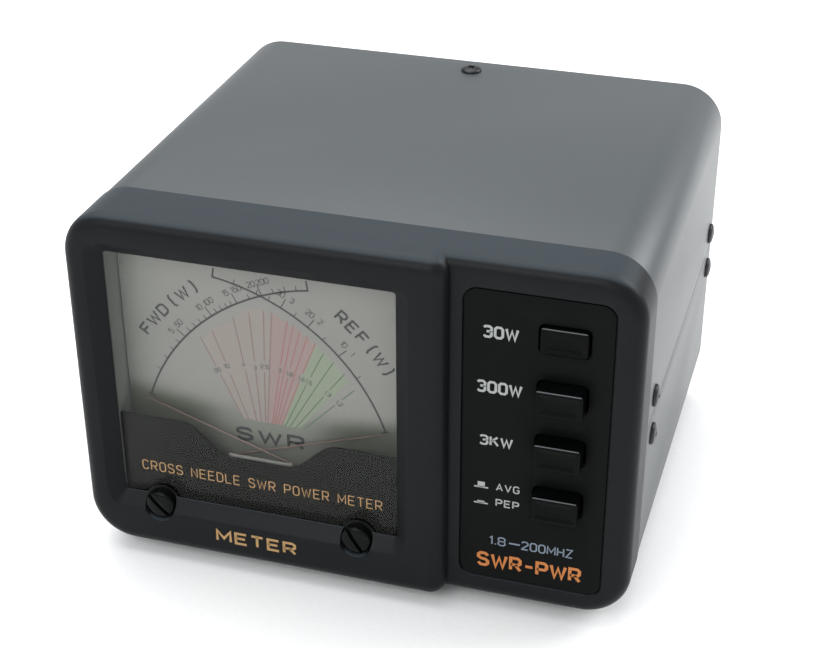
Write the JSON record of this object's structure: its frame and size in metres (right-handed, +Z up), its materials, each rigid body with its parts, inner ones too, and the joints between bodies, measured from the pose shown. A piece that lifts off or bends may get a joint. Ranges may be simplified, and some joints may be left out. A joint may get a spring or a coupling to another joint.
{
  "type": "swr meter",
  "caption": "Desktop cross-needle meter for forward and reflected radio power and standing-wave ratio, with push-button ranges and coaxial connectors at the rear.",
  "frame": {"origin": "centre of the bounding box on the floor, under the rubber feet", "axes": "+X to the right as seen from the front, +Y from the dial to the rear connectors, +Z up"},
  "size_m": [0.157, 0.1476, 0.1087],
  "materials": {
    "bezel_plastic": "moulded, semi-matt black",
    "button_face_plastic": "moulded, semi-matt black",
    "clear_lens": "clear polished acrylic",
    "black_mask": "gloss black print",
    "dial_print": "silver-grey printed dial",
    "housing_plastic": "moulded",
    "circuit_board": "green solder mask",
    "cover_paint": "satin dark grey paint",
    "zinc_plate": "zinc plated",
    "foot_rubber": "matt",
    "black_screws": "black plated",
    "nickel_plate": "nickel plated",
    "soft_iron": "ground",
    "magnet_alloy": "plain",
    "copper_wire": "enamelled winding",
    "needle_paint": "painted",
    "spring_bronze": "bright",
    "brass_sheet": "bright",
    "zero_screw_plastic": "moulded black",
    "button_plastic": "moulded black, satin",
    "plunger_plastic": "natural",
    "spring_steel": "drawn wire",
    "switch_plastic": "moulded",
    "white_insulator": "turned",
    "gold_contact": "plated",
    "tinned_steel": "tinned",
    "ferrite": "sintered",
    "component_plastic": "moulded",
    "trimmer_plastic": "moulded"
  },
  "bodies": {
    "case": {"front_bezel": "bezel_plastic", "control_plate": "button_face_plastic", "meter_lens": "clear_lens", "meter_mask": "black_mask", "dial_plate": "dial_print", "meter_housing": "housing_plastic", "lamp_board": "circuit_board", "upper_cover": "cover_paint", "lower_cover": "cover_paint", "chassis_tray": "zinc_plate", "rear_panel": "cover_paint", "feet": "foot_rubber", "cover_screws": "black_screws", "case_screws": "zinc_plate", "connector_screws": "nickel_plate", "fwd_yoke": "soft_iron", "fwd_core": "magnet_alloy", "ref_yoke": "soft_iron", "ref_core": "magnet_alloy", "spring_30w": "spring_steel", "spring_300w": "spring_steel", "spring_3kw": "spring_steel", "spring_avg_pep": "spring_steel", "switch_bank": "switch_plastic", "switch_board": "circuit_board", "tx_connector": "nickel_plate", "tx_insulator": "white_insulator", "tx_contact": "gold_contact", "ant_connector": "nickel_plate", "ant_insulator": "white_insulator", "ant_contact": "gold_contact", "dc_jack": "housing_plastic", "sensor_can": "tinned_steel", "sensor_lid": "tinned_steel", "sensor_board": "circuit_board", "through_line": "gold_contact", "toroid_core": "ferrite", "main_board": "circuit_board", "board_parts": "component_plastic"},
    "fwd_adjuster": {"fwd_zero_screw": "zero_screw_plastic"},
    "fwd_lever": {"fwd_zero_lever": "brass_sheet", "fwd_hairspring": "spring_bronze"},
    "fwd_movement": {"fwd_needle": "needle_paint", "fwd_coil": "copper_wire"},
    "ref_adjuster": {"ref_zero_screw": "zero_screw_plastic"},
    "ref_lever": {"ref_zero_lever": "brass_sheet", "ref_hairspring": "spring_bronze"},
    "ref_movement": {"ref_needle": "needle_paint", "ref_coil": "copper_wire"},
    "key_30w": {"button_30w": "button_plastic", "plunger_30w": "plunger_plastic"},
    "key_300w": {"button_300w": "button_plastic", "plunger_300w": "plunger_plastic"},
    "key_3kw": {"button_3kw": "button_plastic", "plunger_3kw": "plunger_plastic"},
    "key_avg_pep": {"button_avg_pep": "button_plastic", "plunger_avg_pep": "plunger_plastic"},
    "latch": {"latch_bar": "zinc_plate"},
    "fwd_trim": {"fwd_trimmer": "trimmer_plastic"},
    "ref_trim": {"ref_trimmer": "trimmer_plastic"}
  },
  "joints": [
    {"name": "fwd_zero_turn", "type": "hinge", "parent": "case", "child": "fwd_adjuster", "pos_m": [0.0027, -0.0718, 0.0181], "axis": [0, 1, 0], "range_deg": [-25, 25]},
    {"name": "fwd_zero_shift", "type": "hinge", "parent": "case", "child": "fwd_lever", "pos_m": [-0.0036, -0.0654, 0.028], "axis": [0, 1, 0], "range_deg": [-3.7, 3.7]},
    {"name": "fwd_needle_swing", "type": "hinge", "parent": "fwd_lever", "child": "fwd_movement", "pos_m": [-0.0036, -0.0638, 0.028], "axis": [0, 1, 0], "range_deg": [0, 62.4], "stiffness_Nm_per_rad": 0.0005, "deforming": ["fwd_hairspring"]},
    {"name": "ref_zero_turn", "type": "hinge", "parent": "case", "child": "ref_adjuster", "pos_m": [-0.0555, -0.0718, 0.0181], "axis": [0, 1, 0], "range_deg": [-25, 25]},
    {"name": "ref_zero_shift", "type": "hinge", "parent": "case", "child": "ref_lever", "pos_m": [-0.0492, -0.0654, 0.028], "axis": [0, 1, 0], "range_deg": [-3.7, 3.7]},
    {"name": "ref_needle_swing", "type": "hinge", "parent": "ref_lever", "child": "ref_movement", "pos_m": [-0.0492, -0.0638, 0.028], "axis": [0, 1, 0], "range_deg": [-62.4, 0], "stiffness_Nm_per_rad": 0.0005, "deforming": ["ref_hairspring"]},
    {"name": "key_30w_push", "type": "slide", "parent": "case", "child": "key_30w", "axis": [0, 1, 0], "range_m": [-0.0035, 0], "deforming": ["spring_30w"]},
    {"name": "key_300w_push", "type": "slide", "parent": "case", "child": "key_300w", "axis": [0, 1, 0], "range_m": [0, 0.0035], "stiffness_N_per_m": 200, "springref_m": -0.002, "deforming": ["spring_300w"]},
    {"name": "key_3kw_push", "type": "slide", "parent": "case", "child": "key_3kw", "axis": [0, 1, 0], "range_m": [0, 0.0035], "stiffness_N_per_m": 200, "springref_m": -0.002, "deforming": ["spring_3kw"]},
    {"name": "key_avg_pep_push", "type": "slide", "parent": "case", "child": "key_avg_pep", "axis": [0, 1, 0], "range_m": [0, 0.0035], "stiffness_N_per_m": 200, "springref_m": -0.002, "deforming": ["spring_avg_pep"]},
    {"name": "latch_slide", "type": "slide", "parent": "case", "child": "latch", "axis": [0, 0, 1], "range_m": [0, 0.0015], "stiffness_N_per_m": 150, "springref_m": -0.001},
    {"name": "fwd_trim_turn", "type": "hinge", "parent": "case", "child": "fwd_trim", "pos_m": [0.04, -0.0098, 0.018], "axis": [0, 0, 1], "range_deg": [-135, 135]},
    {"name": "ref_trim_turn", "type": "hinge", "parent": "case", "child": "ref_trim", "pos_m": [0.04, 0.0062, 0.018], "axis": [0, 0, 1], "range_deg": [-135, 135]}
  ],
  "couplings": [
    {"joint": "fwd_zero_shift", "follows": "fwd_zero_turn", "ratio": -0.14656},
    {"joint": "ref_zero_shift", "follows": "ref_zero_turn", "ratio": -0.14656}
  ]
}
